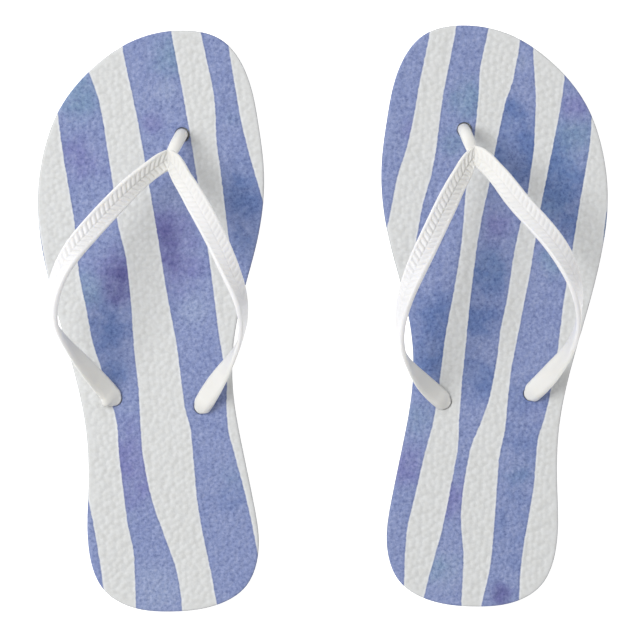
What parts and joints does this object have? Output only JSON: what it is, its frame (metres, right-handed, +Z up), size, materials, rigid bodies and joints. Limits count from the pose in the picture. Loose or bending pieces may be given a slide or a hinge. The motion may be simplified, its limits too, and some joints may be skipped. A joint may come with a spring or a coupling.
{
  "type": "flip flop",
  "caption": "Pair of flat rubber flip flops with layered soles, a striped footbed and a slim moulded Y strap with a toe post, standing side by side.",
  "frame": {"origin": "on the ground, midway between the two shoes and midway between the foremost toe and the rearmost heel", "axes": "+Z up, +Y towards the toes, +X towards the right shoe"},
  "size_m": [0.2494, 0.2564, 0.06],
  "materials": {
    "outsole_rubber": "matt white rubber with a shallow tread",
    "midsole_foam": "matt white expanded rubber",
    "footbed_print": "matt grained rubber printed with blue and violet watercolour stripes on off-white",
    "strap_rubber": "satin white moulded rubber",
    "button_rubber": "satin white moulded rubber"
  },
  "bodies": {
    "left_flip_flop": {"left_outsole": "outsole_rubber", "left_midsole": "midsole_foam", "left_footbed": "footbed_print", "left_strap": "strap_rubber", "left_toe_button": "button_rubber", "left_outer_button": "button_rubber", "left_inner_button": "button_rubber"},
    "right_flip_flop": {"right_outsole": "outsole_rubber", "right_midsole": "midsole_foam", "right_footbed": "footbed_print", "right_strap": "strap_rubber", "right_toe_button": "button_rubber", "right_outer_button": "button_rubber", "right_inner_button": "button_rubber"}
  },
  "joints": [
    {"name": "right_flip_flop_lift", "type": "slide", "parent": "left_flip_flop", "child": "right_flip_flop", "axis": [0, 0, 1], "range_m": [0, 0.1]}
  ]
}
